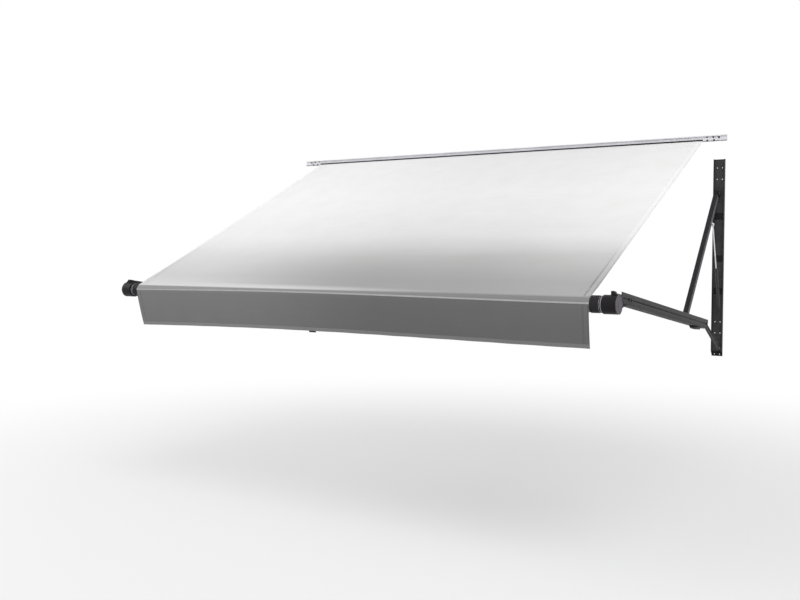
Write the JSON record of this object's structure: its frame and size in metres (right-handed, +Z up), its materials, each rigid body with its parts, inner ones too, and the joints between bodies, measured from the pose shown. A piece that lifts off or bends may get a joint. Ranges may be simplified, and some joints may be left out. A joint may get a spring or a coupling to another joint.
{
  "type": "roll out awning",
  "caption": "Roll out caravan awning: fabric canopy on a motor-driven roller, carried by folding channel arms with gas struts below a wall rail, with a hanging valance.",
  "frame": {"origin": "middle of the rail's back face, on the wall", "axes": "+X along the rail to the right as seen from outside, +Y into the wall, +Z up"},
  "size_m": [3.734, 2.201, 1.5664],
  "materials": {
    "rail": "pale grey powder coat",
    "seal": "black flexible strip",
    "canopy_vinyl": "satin coated fabric",
    "valance_vinyl": "satin coated fabric",
    "tape": "matt woven tape",
    "rope": "smooth extruded rope",
    "channel": "dark grey powder coat",
    "pitch": "dark grey powder coat",
    "casting": "black powder coat on a casting",
    "moulding": "black moulded plastic",
    "disc": "grey moulded plastic",
    "pin": "zinc plated steel",
    "bolt": "black plated steel",
    "strut": "black paint",
    "strut_rod": "polished chrome",
    "motor": "grey paint",
    "tube": "mill finish",
    "wheel": "moulded nylon"
  },
  "bodies": {
    "wall": {"awning_rail": "rail", "rail_seal": "seal", "canopy_bead": "rope", "canopy": "canopy_vinyl", "wall_channel_right": "channel", "channel_sides_right": "channel", "wall_foot_right": "casting", "pitch_bracket_right": "channel", "link_bracket_right": "channel", "gas_bracket_right": "channel", "pitch_pin_right": "pin", "link_pin_right": "pin", "gas_pin_right": "pin", "wall_channel_left": "channel", "channel_sides_left": "channel", "wall_foot_left": "casting", "pitch_bracket_left": "channel", "link_bracket_left": "channel", "gas_bracket_left": "channel", "pitch_pin_left": "pin", "link_pin_left": "pin", "gas_pin_left": "pin"},
    "link_right": {"inner_link_right": "channel"},
    "arm_right": {"arm_right": "channel", "elbow_pin_right": "bolt", "elbow_spacers_right": "pin", "arm_bolts_right": "bolt", "head_frame_right": "casting", "head_cover_right": "moulding", "head_disc_right": "disc", "drive_motor": "motor"},
    "pitch_right": {"pitch_arm_right": "pitch", "pitch_head_right": "casting", "pitch_toe_right": "casting"},
    "strut_cylinder_right": {"gas_cylinder_right": "strut"},
    "strut_rod_right": {"gas_rod_right": "strut_rod"},
    "link_left": {"inner_link_left": "channel"},
    "arm_left": {"arm_left": "channel", "elbow_pin_left": "bolt", "elbow_spacers_left": "pin", "arm_bolts_left": "bolt", "head_frame_left": "casting", "head_cover_left": "moulding", "head_disc_left": "disc", "idler_axle": "pin"},
    "pitch_left": {"pitch_arm_left": "pitch", "pitch_head_left": "casting", "pitch_toe_left": "casting"},
    "strut_cylinder_left": {"gas_cylinder_left": "strut"},
    "strut_rod_left": {"gas_rod_left": "strut_rod"},
    "roller": {"roller_tube": "tube", "roller_cap_right": "moulding", "roller_cap_left": "moulding", "drive_wheel": "wheel", "motor_crown": "wheel", "idler_bush": "wheel", "canopy_turn": "canopy_vinyl", "canopy_rope": "rope", "seam_tape": "tape", "valance": "valance_vinyl"}
  },
  "joints": [
    {"name": "right_link_fold", "type": "hinge", "parent": "wall", "child": "link_right", "pos_m": [1.821, -0.045, -1.4824], "axis": [1, 0, 0], "range_deg": [0, 117.8], "deforming": ["canopy", "valance"]},
    {"name": "right_elbow", "type": "hinge", "parent": "link_right", "child": "arm_right", "pos_m": [1.821, -0.42238, -1.28341], "axis": [1, 0, 0], "range_deg": [-199.05, 0]},
    {"name": "right_pitch_fold", "type": "hinge", "parent": "wall", "child": "pitch_right", "pos_m": [1.821, -0.045, -0.391], "axis": [1, 0, 0], "range_deg": [0, 42.44]},
    {"name": "right_strut_swing", "type": "hinge", "parent": "wall", "child": "strut_cylinder_right", "pos_m": [1.821, -0.045, -1.2], "axis": [1, 0, 0], "range_deg": [-19.01, 0]},
    {"name": "right_strut_slide", "type": "slide", "parent": "strut_cylinder_right", "child": "strut_rod_right", "axis": [0, -0.3257, 0.9455], "range_m": [-0.1125, 0]},
    {"name": "left_link_fold", "type": "hinge", "parent": "wall", "child": "link_left", "pos_m": [-1.821, -0.045, -1.4824], "axis": [1, 0, 0], "range_deg": [0, 117.8]},
    {"name": "left_elbow", "type": "hinge", "parent": "link_left", "child": "arm_left", "pos_m": [-1.821, -0.42238, -1.28341], "axis": [1, 0, 0], "range_deg": [-199.05, 0]},
    {"name": "left_pitch_fold", "type": "hinge", "parent": "wall", "child": "pitch_left", "pos_m": [-1.821, -0.045, -0.391], "axis": [1, 0, 0], "range_deg": [0, 42.44]},
    {"name": "left_strut_swing", "type": "hinge", "parent": "wall", "child": "strut_cylinder_left", "pos_m": [-1.821, -0.045, -1.2], "axis": [1, 0, 0], "range_deg": [-19.01, 0]},
    {"name": "left_strut_slide", "type": "slide", "parent": "strut_cylinder_left", "child": "strut_rod_left", "axis": [0, -0.3257, 0.9455], "range_m": [-0.1125, 0]},
    {"name": "roller_spin", "type": "hinge", "parent": "arm_right", "child": "roller", "pos_m": [0, -2.15, -1.06], "axis": [1, 0, 0], "range_deg": [0, 2961.25]}
  ],
  "couplings": [
    {"joint": "right_elbow", "follows": "right_link_fold", "ratio": -1.6897},
    {"joint": "right_pitch_fold", "follows": "right_link_fold", "ratio": 0.36024},
    {"joint": "right_strut_swing", "follows": "right_link_fold", "ratio": -0.16137},
    {"joint": "right_strut_slide", "follows": "right_link_fold", "m_per_rad": -0.054712},
    {"joint": "left_link_fold", "follows": "right_link_fold", "ratio": 1},
    {"joint": "left_elbow", "follows": "right_link_fold", "ratio": -1.6897},
    {"joint": "left_pitch_fold", "follows": "right_link_fold", "ratio": 0.36024},
    {"joint": "left_strut_swing", "follows": "right_link_fold", "ratio": -0.16137},
    {"joint": "left_strut_slide", "follows": "right_link_fold", "m_per_rad": -0.054712},
    {"joint": "roller_spin", "follows": "right_link_fold", "ratio": 25.138}
  ]
}
